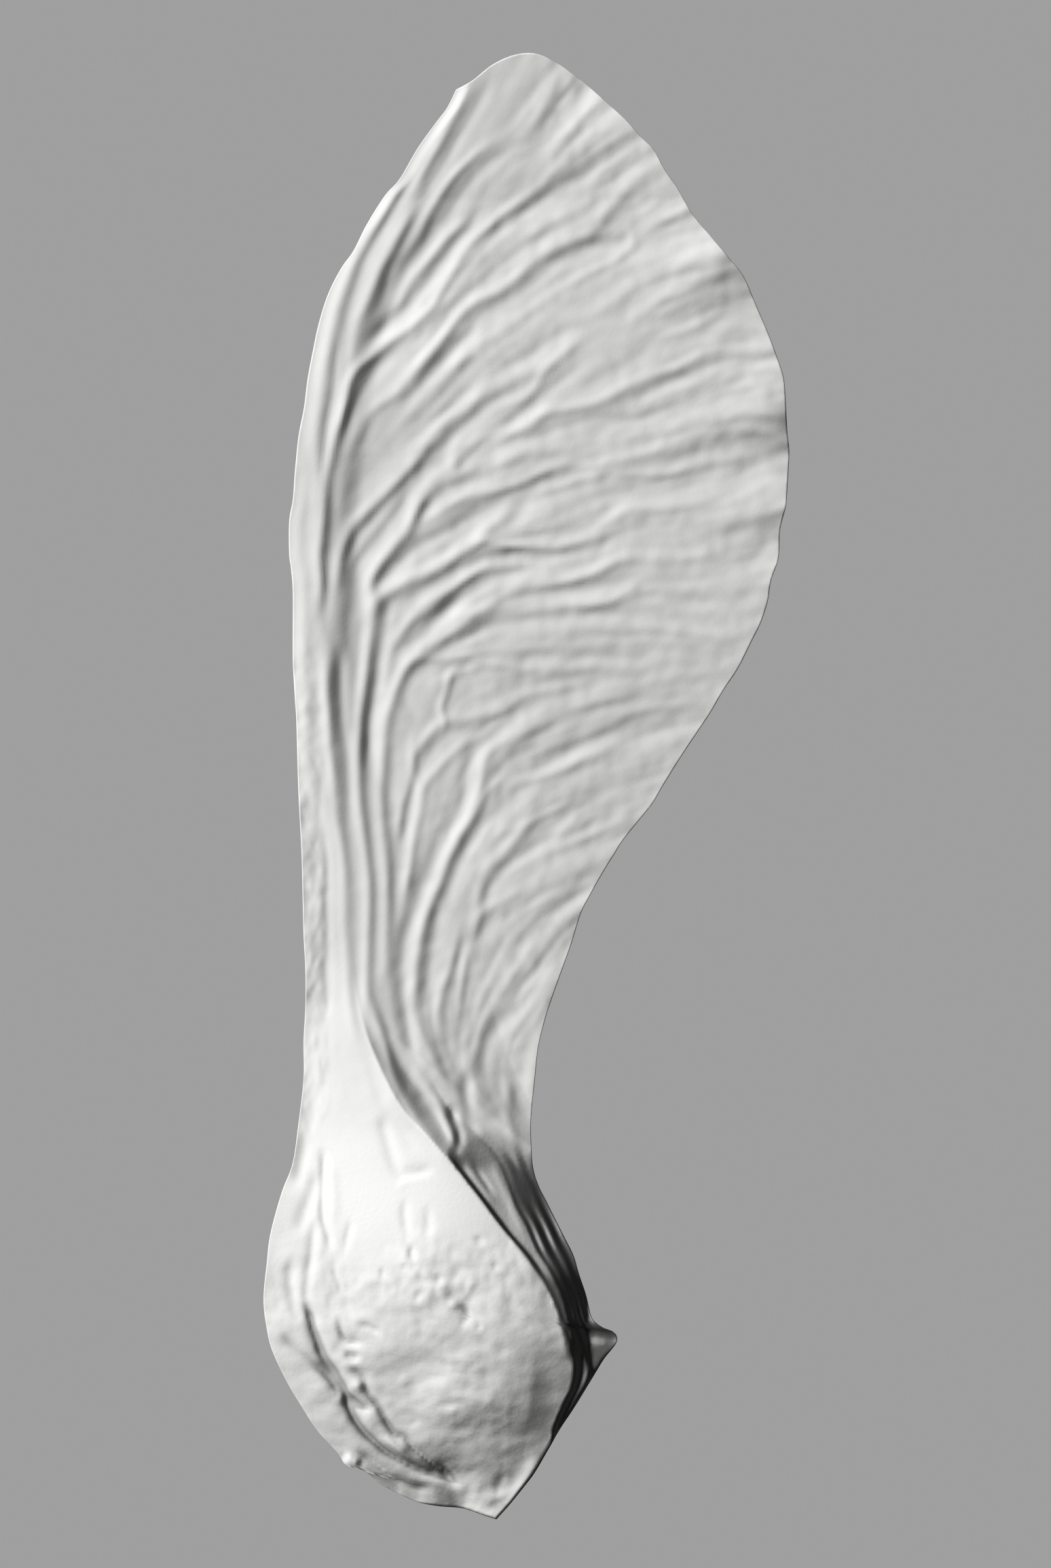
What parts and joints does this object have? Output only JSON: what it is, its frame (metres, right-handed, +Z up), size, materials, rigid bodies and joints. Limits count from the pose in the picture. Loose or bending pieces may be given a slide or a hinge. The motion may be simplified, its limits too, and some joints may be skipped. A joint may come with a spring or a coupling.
{
  "type": "maple samara",
  "caption": "Dry winged maple seed lying flat: a swollen nutlet with a thin rounded rim and a broad papery wing, thick along its leading edge and ribbed with fanned, wrinkled veins.",
  "frame": {"origin": "on the surface that the samara lies on, under the middle of its outline", "axes": "+Y along the wing, from the nutlet towards the wing's tip; +X from the thick leading edge towards the thin trailing edge; +Z up"},
  "size_m": [0.0144, 0.04, 0.0046],
  "materials": {
    "dry_samara": "matte, dry and finely wrinkled"
  },
  "bodies": {
    "root": {"samara": "dry_samara"}
  },
  "joints": []
}
